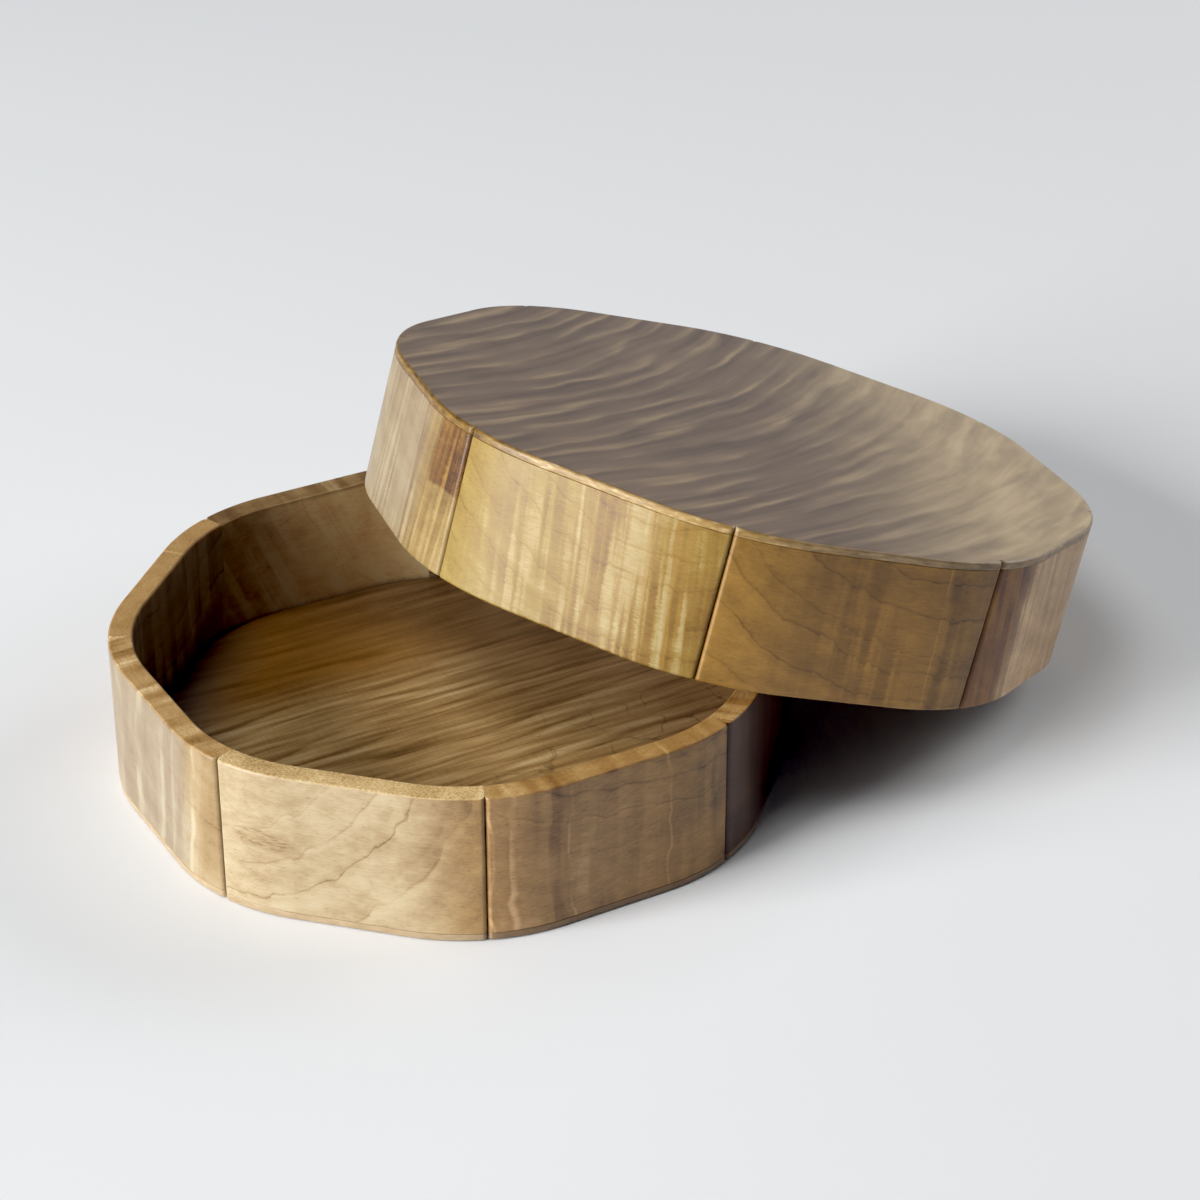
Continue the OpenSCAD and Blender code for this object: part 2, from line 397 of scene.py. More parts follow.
def stave_wood(name, number, place, face, rim, far=None, turn=(-10.0, 30.0), heart=(20.0, 80.0), squash=1.0,
               rings=(), lead=1.2, line_depth=0.4, curl=3.4, lean=0.0, curl_depth=0.3, curl_along=EVEN,
               scallop=0.6, cloud=0.4, mottle=0.2, streaks=(), sway=5.0, amber=(), smudge=None, stain=None,
               inside=None, speckle=0.35, rim_curl=0.1):
    """Figured hardwood, sawn, bent and planed, then oiled to a satin.
    The eye sees thin dark growth lines, bands of curl across the fibres and short pores along them."""
    material = bpy.data.materials.new(name)
    material.use_nodes = True
    tree = material.node_tree
    tree.nodes.clear()
    mm, facing = own_place(tree, place)
    log = add(tree, "ShaderNodeVectorMath", {
        0: mm, 1: (LOG_STEP_THROUGH * number, LOG_STEP_ROUND * number, 0.0)})[0]
    bent = drifting(tree, mm, log, STAVE_DRIFT, [STAVE_DRIFT_REACH] * 3)
    axes = add(tree, "ShaderNodeSeparateXYZ", {0: mm})
    bent_axes = add(tree, "ShaderNodeSeparateXYZ", {0: bent})
    # Fine fibres and short dark pores
    fibres = figure(tree, log, FIBRE_SIZE, 3.0)[0]
    pores = figure(tree, log, PORE_SIZE, 1.0)[0]
    pores = add(tree, "ShaderNodeMapRange", {0: pores, 1: 0.6, 2: 0.78})[0]
    # Curl: bands across the fibres, their edges frayed by them
    across = add(tree, "ShaderNodeMath", {0: axes["Z"], 1: lean, 2: axes["Y"]}, operation="MULTIPLY_ADD")[0]
    frayed = add(tree, "ShaderNodeMath", {0: fibres, 1: CURL_FRAY, 2: across}, operation="MULTIPLY_ADD")[0]
    frayed = add(tree, "ShaderNodeMath", {0: frayed, 1: LOG_STEP_ROUND * number})[0]
    frayed = add(tree, "ShaderNodeCombineXYZ", {"X": axes["X"], "Y": frayed, "Z": axes["Z"]})[0]
    bands = figure(tree, frayed, (CURL_THROUGH, curl, CURL_HEIGHT), 3.0)[0]
    bands = add(tree, "ShaderNodeMapRange", {0: bands, 1: 0.39, 2: 0.6}, interpolation_type="SMOOTHSTEP")[0]
    patches = figure(tree, log, CURL_PATCH_SIZE, 1.0)[0]
    patches = add(tree, "ShaderNodeMapRange", {0: patches, 1: 0.36, 2: 0.58, 3: 0.25, 4: 1.0})[0]
    along = add(tree, "ShaderNodeMapRange", {0: axes["Y"], 1: -STREAK_REACH, 2: STREAK_REACH})[0]
    along = add(tree, "ShaderNodeValToRGB", {0: along}, stops=[(p, grey(v)) for p, v in curl_along])[0]
    patches = add(tree, "ShaderNodeMath", {0: patches, 1: along}, operation="MULTIPLY")[0]
    ripple = add(tree, "ShaderNodeMath", {0: bands, 1: 0.5}, operation="SUBTRACT")[0]
    ripple = add(tree, "ShaderNodeMath", {0: ripple, 1: patches}, operation="MULTIPLY")[0]
    # Growth lines round the heart of the log, scalloped by the curl, that fade here and there
    off = add(tree, "ShaderNodeVectorMath", {0: bent, 1: (BASE_APOTHEM, *heart)}, operation="SUBTRACT")[0]
    off = add(tree, "ShaderNodeVectorMath", {0: off, 1: (RING_THROUGH, squash, 1.0)}, operation="MULTIPLY")[0]
    radius = add(tree, "ShaderNodeVectorMath", {0: off}, operation="LENGTH")["Value"]
    radius = add(tree, "ShaderNodeMath", {0: ripple, 1: 2 * scallop, 2: radius}, operation="MULTIPLY_ADD")[0]
    years = add(tree, "ShaderNodeTexNoise", {"W": radius, "Scale": 1 / YEAR_WIDTH, "Detail": 2.0},
                noise_dimensions="1D")[0]
    radius = add(tree, "ShaderNodeMath", {0: radius, 1: 1 / RING_SPAN}, operation="MULTIPLY")[0]
    lines = add(tree, "ShaderNodeValToRGB", {0: radius}, stops=growth_stops(rings, lead))[0]
    fade = figure(tree, log, LINE_FADE_SIZE, 1.0)[0]
    fade = add(tree, "ShaderNodeMapRange", {0: fade, 1: 0.33, 2: 0.55, 3: 0.35, 4: 1.0})[0]
    lines = add(tree, "ShaderNodeMath", {0: lines, 1: fade}, operation="MULTIPLY")[0]
    # Streaks run up the stave, sway a little and fade along their length
    swayed = figure(tree, log, STREAK_SWAY_SIZE, 3.0)[0]
    swayed = add(tree, "ShaderNodeMath", {0: swayed, 1: sway, 2: across}, operation="MULTIPLY_ADD")[0]
    swayed = add(tree, "ShaderNodeMapRange", {0: swayed, 1: sway / 2 - STREAK_REACH,
                                              2: sway / 2 + STREAK_REACH})[0]
    streak = add(tree, "ShaderNodeValToRGB", {0: swayed}, stops=streak_stops(streaks, 0.5))[0]
    streak = add(tree, "ShaderNodeMath", {0: streak, 1: 0.5}, operation="SUBTRACT")[0]
    fade = figure(tree, log, STREAK_FADE_SIZE, 1.0)[0]
    fade = add(tree, "ShaderNodeMapRange", {0: fade, 1: 0.34, 2: 0.58, 3: 0.12, 4: 1.0})[0]
    streak = add(tree, "ShaderNodeMath", {0: streak, 1: fade}, operation="MULTIPLY")[0]
    # One tone from dark to pale gathers it all, with painted light that makes a stave lighter towards its
    # foot
    clouds = figure(tree, log, CLOUD_SIZE, 4.0)[0]
    spots = figure(tree, log, SPOT_SIZE, 3.0)[0]
    tone = gather(tree, STAVE_TONE, [
        (ripple, curl_depth, 0.0), (clouds, cloud, 0.5), (spots, mottle, 0.5), (years, YEAR_DEPTH, 0.5),
        (fibres, FIBRE_DEPTH, 0.5), (streak, STREAK_DEPTH, 0.0), (lines, -line_depth, 0.0),
        (pores, PORE_DEPTH, 0.0), (axes["Z"], FOOT_BOUNCE_LIGHT, BASE_HEIGHT / 2)])
    if smudge:
        # A healed knot: fine dark threads, closest along its outline
        y, z, wide, high = smudge
        off = add(tree, "ShaderNodeVectorMath", {0: bent, 1: (0.0, y, z)}, operation="SUBTRACT")[0]
        off = add(tree, "ShaderNodeVectorMath", {0: off, 1: (0.0, 1 / wide, 1 / high)},
                  operation="MULTIPLY")[0]
        off = add(tree, "ShaderNodeVectorMath", {0: off}, operation="LENGTH")["Value"]
        knot = add(tree, "ShaderNodeValToRGB", {0: off}, stops=(
            (0.0, grey(0.7)), (0.35, grey(0.5)), (0.6, grey(0.8)), (1.0, grey(0.0))))[0]
        threads = add(tree, "ShaderNodeMapRange", {0: fibres, 1: 0.4, 2: 0.58})[0]
        knot = add(tree, "ShaderNodeMath", {0: knot, 1: threads}, operation="MULTIPLY")[0]
        tone = add(tree, "ShaderNodeMath", {0: knot, 1: KNOT_DEPTH, 2: tone}, operation="MULTIPLY_ADD")[0]
    # Rims show cut fibres, speckled, in warmer tones
    facing = add(tree, "ShaderNodeSeparateXYZ", {0: facing})
    up = add(tree, "ShaderNodeMath", {0: facing["Z"]}, operation="ABSOLUTE")[0]
    up = add(tree, "ShaderNodeMapRange", {0: up, 1: 0.6, 2: 0.95})[0]
    ends = figure(tree, log, CUT_FIBRE_SIZE, 2.0)[0]
    ends = add(tree, "ShaderNodeMath", {0: ends, 1: 0.5}, operation="SUBTRACT")[0]
    ends = add(tree, "ShaderNodeMath", {0: ends, 1: up}, operation="MULTIPLY")[0]
    tone = add(tree, "ShaderNodeMath", {0: ends, 1: speckle, 2: tone}, operation="MULTIPLY_ADD")[0]
    shade = tone_shade(tree, tone, face)
    if far:
        side = add(tree, "ShaderNodeMapRange", {0: bent_axes["Y"], 1: turn[0], 2: turn[1]},
                   interpolation_type="SMOOTHSTEP")[0]
        shade = other_tones(tree, side, shade, tone, far)
    if amber:
        # Amber threads of resin along some streaks
        thread = add(tree, "ShaderNodeValToRGB", {0: swayed}, stops=streak_stops(amber, 0.0))[0]
        thread = add(tree, "ShaderNodeMath", {0: thread, 1: fade}, operation="MULTIPLY")[0]
        shade = add(tree, "ShaderNodeMix", {FACTOR: thread, SHADE_A: shade, SHADE_B: linear(RESIN)},
                    data_type="RGBA")[MIXED]
    if stain:
        # A stained patch in one upper corner, its stripes deeper
        y, z, tones = stain
        right = add(tree, "ShaderNodeMapRange", {
            0: swayed, 1: 0.5 + (y - STAIN_EDGE_ROUND) / (2 * STREAK_REACH),
            2: 0.5 + (y + STAIN_EDGE_ROUND) / (2 * STREAK_REACH)})[0]
        high = add(tree, "ShaderNodeMapRange", {
            0: bent_axes["Z"], 1: z - STAIN_EDGE_UP, 2: z + STAIN_EDGE_UP})[0]
        stained = add(tree, "ShaderNodeMath", {0: right, 1: high}, operation="MULTIPLY")[0]
        deeper = add(tree, "ShaderNodeMath", {0: tone, 1: STAIN_STRETCH, 2: STAIN_SHIFT},
                     operation="MULTIPLY_ADD")[0]
        shade = other_tones(tree, stained, shade, deeper, tones)
    if inside:
        # Painted light and shade on the inner face below the rim: its inside tones at one end, painted shade
        # at the other
        tones, start, end = inside
        inward = add(tree, "ShaderNodeMapRange", {0: facing["X"], 1: -0.1, 2: -0.4})[0]
        below = add(tree, "ShaderNodeMapRange", {0: axes["Z"], 1: BASE_HEIGHT - RIM_UNSHADED,
                                                 2: BASE_HEIGHT - RIM_SHADED})[0]
        inward = add(tree, "ShaderNodeMath", {0: inward, 1: below}, operation="MULTIPLY")[0]
        painted_shading = add(tree, "ShaderNodeMapRange", {0: bent_axes["Y"], 1: start, 2: end},
                     interpolation_type="SMOOTHSTEP")[0]
        painted_shading = other_tones(tree, painted_shading, tone_shade(tree, tone, tones), tone, INNER_SHADE_TONES)
        shade = add(tree, "ShaderNodeMix", {FACTOR: inward, SHADE_A: shade, SHADE_B: painted_shading},
                    data_type="RGBA")[MIXED]
    # The rim shows the curl in its own way and no growth lines
    striped = add(tree, "ShaderNodeMath", {0: ripple, 1: rim_curl, 2: tone}, operation="MULTIPLY_ADD")[0]
    striped = add(tree, "ShaderNodeMath", {0: lines, 1: line_depth, 2: striped}, operation="MULTIPLY_ADD")[0]
    shade = other_tones(tree, up, shade, striped, rim)
    finish_wood(tree, mm, shade, fibres, ripple)
    return material


def finish_wood(tree, mm, shade, fibres, ripple):
    """Painted shade darkens the grooves and seams above the foot, where nearby walls block the light, and a
    satin oil finish closes the surface.
    """
    # Painted shade: the wood darkens where nearby walls shut out the light, in grooves and seams
    open_air = add(tree, "ShaderNodeAmbientOcclusion", {"Distance": GROOVE_REACH * MM}, samples=6)["AO"]
    grooves = add(tree, "ShaderNodeMapRange", {0: open_air, 1: 0.85, 2: 0.4, 3: 0.0, 4: GROOVE_SHADE})[0]
    height = add(tree, "ShaderNodeSeparateXYZ", {0: mm})["Z"]
    off_foot = add(tree, "ShaderNodeMapRange", {0: height, 1: FOOT_CLEAR, 2: FOOT_SHADED})[0]
    grooves = add(tree, "ShaderNodeMath", {0: grooves, 1: off_foot}, operation="MULTIPLY")[0]
    shade = add(tree, "ShaderNodeMix", {FACTOR: grooves, SHADE_A: shade, SHADE_B: linear(SHADE_AND_CRACK_TONE)},
                data_type="RGBA")[MIXED]
    rough = add(tree, "ShaderNodeMapRange", {0: fibres, 3: SATIN_LOW, 4: SATIN_HIGH})[0]
    relief = add(tree, "ShaderNodeMath", {0: ripple, 1: CURL_RELIEF, 2: fibres}, operation="MULTIPLY_ADD")[0]
    bump = add(tree, "ShaderNodeBump", {"Height": relief, "Strength": FIBRE_RELIEF,
                                        "Distance": FIBRE_HEIGHT * MM})[0]
    surface = add(tree, "ShaderNodeBsdfPrincipled", {
        "Base Color": shade, "Roughness": rough, "IOR": WOOD_IOR, "Normal": bump})[0]
    add(tree, "ShaderNodeOutputMaterial", {"Surface": surface})


def panel_wood(name, place, face, far, bearing, turn, tilt, bow, stripe, profile, stripe_depth, strength_from,
               sway, wander, wisps, faded, quilt, edge, edge_far, edge_turn, edge_mottle, edge_deep,
               painted_shading=(), crackle=None):
    """Curly hardwood board, planed flat and oiled to a satin.
    The eye sees long stripes of curl that fade to one side, and a lip edge of mottled fibres."""
    material = bpy.data.materials.new(name)
    material.use_nodes = True
    tree = material.node_tree
    tree.nodes.clear()
    mm, facing = own_place(tree, place)
    bent = drifting(tree, mm, mm, PANEL_DRIFT, (sway, sway, 0.0))
    axes = add(tree, "ShaderNodeSeparateXYZ", {0: bent})
    # Along and across the stripes, which bow a little
    board = add(tree, "ShaderNodeVectorRotate", {"Vector": bent, "Angle": -tilt}, rotation_type="Z_AXIS")[0]
    run = add(tree, "ShaderNodeSeparateXYZ", {0: board})
    square = add(tree, "ShaderNodeMath", {0: run["X"], 1: run["X"]}, operation="MULTIPLY")[0]
    across = add(tree, "ShaderNodeMath", {0: square, 1: -bow, 2: run["Y"]}, operation="MULTIPLY_ADD")[0]
    laid = add(tree, "ShaderNodeCombineXYZ", {"X": run["X"], "Y": across})[0]
    wandering = figure(tree, laid, WANDER_SIZE)[0]
    phase = add(tree, "ShaderNodeMath", {0: across, 1: 1 / stripe}, operation="MULTIPLY")[0]
    phase = add(tree, "ShaderNodeMath", {0: wandering, 1: wander, 2: phase}, operation="MULTIPLY_ADD")[0]
    band = add(tree, "ShaderNodeMath", {0: phase}, operation="FRACT")[0]
    stripes = add(tree, "ShaderNodeValToRGB", {0: band}, stops=[(p, grey(v)) for p, v in profile])[0]
    stripes = add(tree, "ShaderNodeMath", {0: stripes, 1: STRIPE_MIDDLE}, operation="SUBTRACT")[0]
    towards = (math.cos(bearing), math.sin(bearing), 0.0)
    side = add(tree, "ShaderNodeVectorMath", {0: bent, 1: towards}, operation="DOT_PRODUCT")["Value"]
    side = add(tree, "ShaderNodeMapRange", {0: side, 1: turn[0], 2: turn[1]},
               interpolation_type="SMOOTHSTEP")[0]
    fade = add(tree, "ShaderNodeMath", {0: side, 1: -faded, 2: 1.0}, operation="MULTIPLY_ADD")[0]
    strength = figure(tree, laid, STRIPE_FADE_SIZE, 1.5)[0]
    strength = add(tree, "ShaderNodeMapRange", {0: strength, 1: 0.32, 2: 0.58, 3: strength_from, 4: 1.0})[0]
    strength = add(tree, "ShaderNodeMath", {0: strength, 1: fade}, operation="MULTIPLY")[0]
    stripes = add(tree, "ShaderNodeMath", {0: stripes, 1: strength}, operation="MULTIPLY")[0]
    # Wisps: thin uneven streaks between the stripes
    wisp_length, wisp_width, wisp_depth = wisps
    wisp = figure(tree, laid, (wisp_length, wisp_width, 1.0), 3.0)[0]
    wisp = add(tree, "ShaderNodeMapRange", {0: wisp, 1: 0.3, 2: 0.7, 3: -0.5, 4: 0.5})[0]
    wisp = add(tree, "ShaderNodeMath", {0: wisp, 1: fade}, operation="MULTIPLY")[0]
    # Quilt: swirling blotches, only where the stripes fade
    blotch = figure(tree, laid, QUILT_SIZE, 2.5, 0.5)[0]
    blotch = add(tree, "ShaderNodeMapRange", {0: blotch, 1: 0.36, 2: 0.66, 3: -0.5, 4: 0.5})[0]
    blotch = add(tree, "ShaderNodeMath", {0: blotch, 1: side}, operation="MULTIPLY")[0]
    fibres = figure(tree, laid, PANEL_FIBRE_SIZE, 3.0)[0]
    clouds = figure(tree, mm, PANEL_CLOUD_SIZE, 3.0)[0]
    tone = gather(tree, PANEL_TONE, [
        (stripes, stripe_depth, 0.0), (wisp, wisp_depth, 0.0), (blotch, quilt, 0.0),
        (fibres, PANEL_FIBRE_DEPTH, 0.5), (clouds, PANEL_CLOUD_DEPTH, 0.5)])
    shade = other_tones(tree, side, tone_shade(tree, tone, face), tone, far)
    for tones, heading, start, end in painted_shading:
        # Painted shade along some sides of the board
        towards = (math.cos(heading), math.sin(heading), 0.0)
        deep = add(tree, "ShaderNodeVectorMath", {0: bent, 1: towards}, operation="DOT_PRODUCT")["Value"]
        deep = add(tree, "ShaderNodeMapRange", {0: deep, 1: start, 2: end},
                   interpolation_type="SMOOTHSTEP")[0]
        shade = other_tones(tree, deep, shade, tone, tones)
    if crackle:
        # Fine cracks where one side has dried
        heading, start, end = crackle
        towards = (math.cos(heading), math.sin(heading), 0.0)
        dry = add(tree, "ShaderNodeVectorMath", {0: mm, 1: towards}, operation="DOT_PRODUCT")["Value"]
        dry = add(tree, "ShaderNodeMapRange", {0: dry, 1: start, 2: end})[0]
        jogged = drifting(tree, mm, mm, CRACK_DRIFT, (CRACK_DRIFT_REACH, CRACK_DRIFT_REACH, 0.0))
        cracks = add(tree, "ShaderNodeTexVoronoi", {"Vector": jogged, "Scale": 1 / CRACK_SPACING},
                     feature="DISTANCE_TO_EDGE")["Distance"]
        cracks = add(tree, "ShaderNodeMapRange", {0: cracks, 1: CRACK_OUTER, 2: CRACK_INNER})[0]
        patchy = figure(tree, mm, CRACK_FADE_SIZE, 1.0)[0]
        patchy = add(tree, "ShaderNodeMapRange", {0: patchy, 1: 0.42, 2: 0.56, 4: 0.5})[0]
        cracks = add(tree, "ShaderNodeMath", {0: cracks, 1: patchy}, operation="MULTIPLY")[0]
        cracks = add(tree, "ShaderNodeMath", {0: cracks, 1: dry}, operation="MULTIPLY")[0]
        shade = add(tree, "ShaderNodeMix", {FACTOR: cracks, SHADE_A: shade, SHADE_B: linear(SHADE_AND_CRACK_TONE)},
                    data_type="RGBA")[MIXED]
    # The lip's edge shows mottled fibres
    flat = add(tree, "ShaderNodeSeparateXYZ", {0: facing})["Z"]
    flat = add(tree, "ShaderNodeMath", {0: flat}, operation="ABSOLUTE")[0]
    flat = add(tree, "ShaderNodeMapRange", {0: flat, 1: 0.99, 2: 0.88})[0]
    spots = figure(tree, mm, LIP_MOTTLE_SIZE, 3.0)[0]
    spots = add(tree, "ShaderNodeMath", {0: spots, 1: edge_mottle, 2: LIP_TONE - edge_mottle / 2},
                operation="MULTIPLY_ADD")[0]
    dark_end = add(tree, "ShaderNodeMapRange", {0: axes["X"], 1: DARK_LIP_FROM, 2: DARK_LIP_TO,
                                                4: edge_deep})[0]
    spots = add(tree, "ShaderNodeMath", {0: spots, 1: dark_end}, operation="SUBTRACT")[0]
    swap = add(tree, "ShaderNodeMapRange", {0: axes["X"], 1: edge_turn[0], 2: edge_turn[1]})[0]
    edges = other_tones(tree, swap, tone_shade(tree, spots, edge), spots, edge_far)
    shade = add(tree, "ShaderNodeMix", {FACTOR: flat, SHADE_A: shade, SHADE_B: edges},
                data_type="RGBA")[MIXED]
    finish_wood(tree, mm, shade, fibres, stripes)
    return material


# Tones of each stave, dark to pale, on its face and on its rim, and where its figure lies.
# In millimetres: rings are a radius round the heart and a depth; streaks are a middle, a width and a level.
PALE_RIM = ("#87673C", "#BF9E68", "#E1C28B", "#FBF2C4")
TAN_RIM = ("#78572F", "#A8824D", "#C5A06A", "#F1D8A9")
AMBER_RIM = ("#69461F", "#99713D", "#B38E57", "#E7C78E")
BROWN_RIM = ("#583F22", "#7C5F39", "#93774E", "#B6A17B")

BASE_LOOKS = {
    3: dict(face=("#5B4633", "#957A53", "#B59B6E", "#D9C49C"), rim=BROWN_RIM, heart=(-60.0, 60.0),
            rings=((52.0, 0.25), (70.0, 0.3)), curl=4.0, lean=-0.45, curl_depth=0.26, rim_curl=0.4,
            cloud=0.6, mottle=0.35,
            # Stave 3's inner face: pale painted light towards one end, painted shade towards the other
            inside=(("#A78658", "#F0C78C", "#FFE4A8", "#FFF2D2"), -22.0, 44.0)),
    # Stave 4's inner face is all painted shade
    4: dict(face=("#5E4630", "#8A6C48", "#A4855C", "#C8AE84"), rim=TAN_RIM, heart=(10.0, 78.0),
            rings=((45.0, 0.6), (57.0, 0.7), (66.0, 0.6)), curl=3.4, curl_depth=0.3,
            streaks=((-13.0, 1.4, 0.8), (14.0, 2.5, 0.36)), inside=(INNER_SHADE_TONES, 0.0, 1.0), rim_curl=-0.25),
    5: dict(face=("#634D34", "#8C7860", "#9B8A6F", "#ADA188"),
            far=("#72542C", "#987E55", "#A9926D", "#BEB08F"), turn=(16.0, 24.0), rim=TAN_RIM,
            heart=(40.0, 70.0), rings=((52.0, 0.5),), curl=5.0, lean=-0.12, curl_depth=0.22, sway=4.5,
            streaks=((-20.0, 3.0, 0.68), (-8.5, 4.0, 0.95), (-4.0, 3.0, 0.36), (5.0, 3.0, 0.9),
                     (11.0, 1.6, 0.75), (20.0, 1.6, 1.0), (26.0, 7.0, 0.4)), line_depth=0.25, rim_curl=0.2),
    6: dict(face=("#5C4A30", "#A38A64", "#BCA987", "#CAC0A0"),
            far=("#45301C", "#85653D", "#A88452", "#C2A56A"), turn=(8.0, 33.0), rim=PALE_RIM,
            heart=(-35.0, 59.0), curl=5.0, curl_depth=0.05, lead=7.0, line_depth=0.55,
            rings=((38.0, 0.2), (47.0, 0.4), (55.5, 0.55), (67.0, 1.0)), mottle=0.34,
            smudge=(-20.5, 20.5, 10.0, 3.2), speckle=1.0),
    # Stave 7's far tones, towards its right end, are a little darker: painted shade where the lid shadows it
    7: dict(face=("#49321B", "#83623D", "#A37F51", "#C9A476"),
            far=("#443018", "#806035", "#A17943", "#C19962"), rim=AMBER_RIM, heart=(23.0, 120.0), squash=0.8,
            rings=((84.0, 0.6), (89.0, 0.8), (96.0, 0.7)), curl=4.0, curl_depth=0.12, mottle=0.32,
            scallop=0.2, line_depth=0.24, sway=6.0, streaks=(
                (-30.8, 0.9, 0.8), (-26.0, 2.0, 0.95), (-15.5, 4.0, 0.25), (-12.0, 1.0, 1.0),
                (13.5, 0.8, 0.85), (30.0, 9.0, 0.18))),
    # Stave 8's dark tones are painted shadow, where the lid leans over it
    8: dict(face=("#30200E", "#4A3014", "#58391A", "#6A4A24"), rim=AMBER_RIM, heart=(-6.0, 80.0),
            rings=((46.0, 0.6), (58.0, 0.6), (71.0, 0.6)), curl=3.0, curl_depth=0.25,
            streaks=((-5.0, 1.4, 0.8), (6.0, 2.5, 0.36))),
}
LID_LOOKS = {
    5: dict(face=("#5A452C", "#856E50", "#988665", "#A9987B"),
            far=("#5C431E", "#81673A", "#987E4A", "#AC9668"), turn=(8.0, 24.0), rim=TAN_RIM,
            curl=1.6, lean=-0.06, curl_depth=0.4, sway=3.0, streaks=(
                (-11.0, 2.0, 0.36), (-3.0, 5.0, 0.36), (13.0, 5.0, 0.32), (20.5, 1.2, 0.2)),
            stain=(21.0, 20.0, ("#39220A", "#61401A", "#7F5A25", "#9C7737"))),
    6: dict(face=("#654B18", "#886A2C", "#9B823F", "#BBA37A"),
            far=("#634618", "#856429", "#977A39", "#B09D6D"), turn=(-12.0, 4.0), rim=AMBER_RIM,
            heart=(14.7, 74.0),
            rings=((41.0, 0.8), (48.0, 0.9), (55.0, 0.9), (64.0, 0.8), (71.0, 0.7), (78.5, 0.7)), curl=2.5,
            lean=0.12, curl_depth=0.42, curl_along=((0.1, 0.2), (0.45, 1.0)), cloud=0.25, line_depth=0.2,
            sway=1.6, streaks=((2.6, 1.0, 0.78), (6.4, 1.4, 0.78), (19.6, 1.0, 0.8), (26.0, 1.2, 0.8),
                               (31.5, 5.0, 0.7)),
            amber=((20.6, 0.8, 0.4), (27.0, 0.9, 0.5), (30.0, 0.8, 0.3))),
    7: dict(face=("#583C13", "#7B5A22", "#956F2F", "#AF873C"),
            far=("#463011", "#735427", "#8B6630", "#AA7F3C"), turn=(-34.0, -8.0), rim=AMBER_RIM,
            heart=(24.7, 75.0), squash=0.85,
            rings=((43.0, 0.9), (52.0, 0.9), (61.5, 0.9), (66.5, 0.7), (74.2, 0.9), (84.0, 0.6)), curl=3.0,
            lean=0.05, curl_depth=0.34, curl_along=((0.3, 0.2), (0.6, 1.0), (0.75, 0.9), (0.88, 0.4)),
            scallop=0.9, line_depth=0.3, mottle=0.35, sway=1.6,
            streaks=((-34.0, 3.0, 0.45), (22.0, 0.8, 0.9), (30.0, 9.0, 0.64))),
    8: dict(face=("#432206", "#663D0F", "#805319", "#9B6D25"),
            far=("#684E34", "#9A7B57", "#B7956E", "#D8B68A"), turn=(-26.0, -16.0), rim=AMBER_RIM,
            curl=2.4, lean=0.15, sway=2.0, streaks=(
                (-16.0, 1.6, 0.95), (-9.0, 1.4, 0.75), (-1.0, 2.0, 0.7), (8.0, 2.0, 0.66))),
}


def plain_look(number):
    """A stave that the photograph doesn't show: the same wood, its figure turned by its number."""
    tones = (("#5E4630", "#9A7C56", "#BC9D70", "#DCC59A"), ("#4A3725", "#7C6144", "#9A7C58", "#C4A478"))
    rings = (42.0, 51.0, 58.0 + number, 69.0 + number / 2, 80.0)
    return dict(face=tones[number % 2], rim=TAN_RIM if number % 2 else AMBER_RIM,
                heart=(-30.0 + 13.0 * (number % 5), 70.0 + 5.0 * (number % 3)),
                rings=[(radius, 0.9) for radius in rings], curl=2.8 + 0.5 * (number % 4),
                curl_depth=0.3 + 0.15 * (number % 3), lean=0.07 * (number % 3 - 1),
                curl_along=((0.2, 0.2 + 0.8 * (number % 2)), (0.8, 1.0)),
                streaks=((-21.0 + 2 * number, 1.4, 0.85), (22.0 - 2 * number, 2.5, 0.36)))


BASE_PLACE = Matrix.Identity(4)
LID_PLACE = lid_place()


def up_from_floor(along):
    """Height of a point of a base stave, by its distance from the floor panel."""
    return PANEL_LIP + along


def down_from_top(along):
    """Height of a point of a lid stave, by its distance from the top panel."""
    return LID_HEIGHT - PANEL_LIP - along


for number in range(1, SIDES + 1):
    turn = Matrix.Rotation(2 * HALF_TURN * (number - 1), 4, "Z")
    look = BASE_LOOKS.get(number) or plain_look(number)
    wood = stave_wood(f"oiled figured hardwood, base stave {number}", number, BASE_PLACE @ turn, **look)
    make_stave(f"base_stave_{number}", BASE_APOTHEM, BASE_BEND, BASE_WALL, up_from_floor,
               BASE_HEIGHT - PANEL_LIP, BASE_PLACE @ turn, wood, "base")
    look = LID_LOOKS.get(number) or plain_look(number + SIDES)
    wood = stave_wood(f"oiled figured hardwood, lid stave {number}", number + SIDES, LID_PLACE @ turn, **look)
    make_stave(f"lid_stave_{number}", LID_APOTHEM, LID_BEND, LID_WALL, down_from_top,
               LID_HEIGHT - PANEL_LIP, LID_PLACE @ turn, wood, "lid")

# One crisp edge and one soft edge to each stripe
TOP_STRIPE = ((0.0, 0.2), (0.1, 0.75), (0.22, 1.0), (0.4, 0.75), (0.6, 0.4), (0.8, 0.2), (1.0, 0.2))
FLOOR_STRIPE = ((0.0, 0.5), (0.08, 0.1), (0.2, 0.15), (0.45, 0.5), (0.75, 0.7), (1.0, 0.5))
TOP_LOOK = dict(
    face=("#524032", "#715D4C", "#8D7660", "#C0A680"), far=("#7E6751", "#B69E7D", "#D5BC94", "#E6D8B3"),
    bearing=math.radians(-10), turn=(6.0, 72.0), tilt=math.radians(45), bow=0.0014, stripe=7.2,
    profile=TOP_STRIPE, stripe_depth=0.4, strength_from=0.05, sway=5.0, wander=3.0, wisps=(60.0, 2.2, 0.22),
    # The lip edge's palest tone is partly the wood and partly a painted highlight along the lip
    faded=0.6, quilt=0.26, edge=("#523B1A", "#85662F", "#A98A50", "#E4D5B0"),
    edge_far=("#4E3D28", "#7A6446", "#957C5A", "#BBA27C"), edge_turn=(-45.0, 0.0), edge_mottle=1.0,
    edge_deep=0.26)
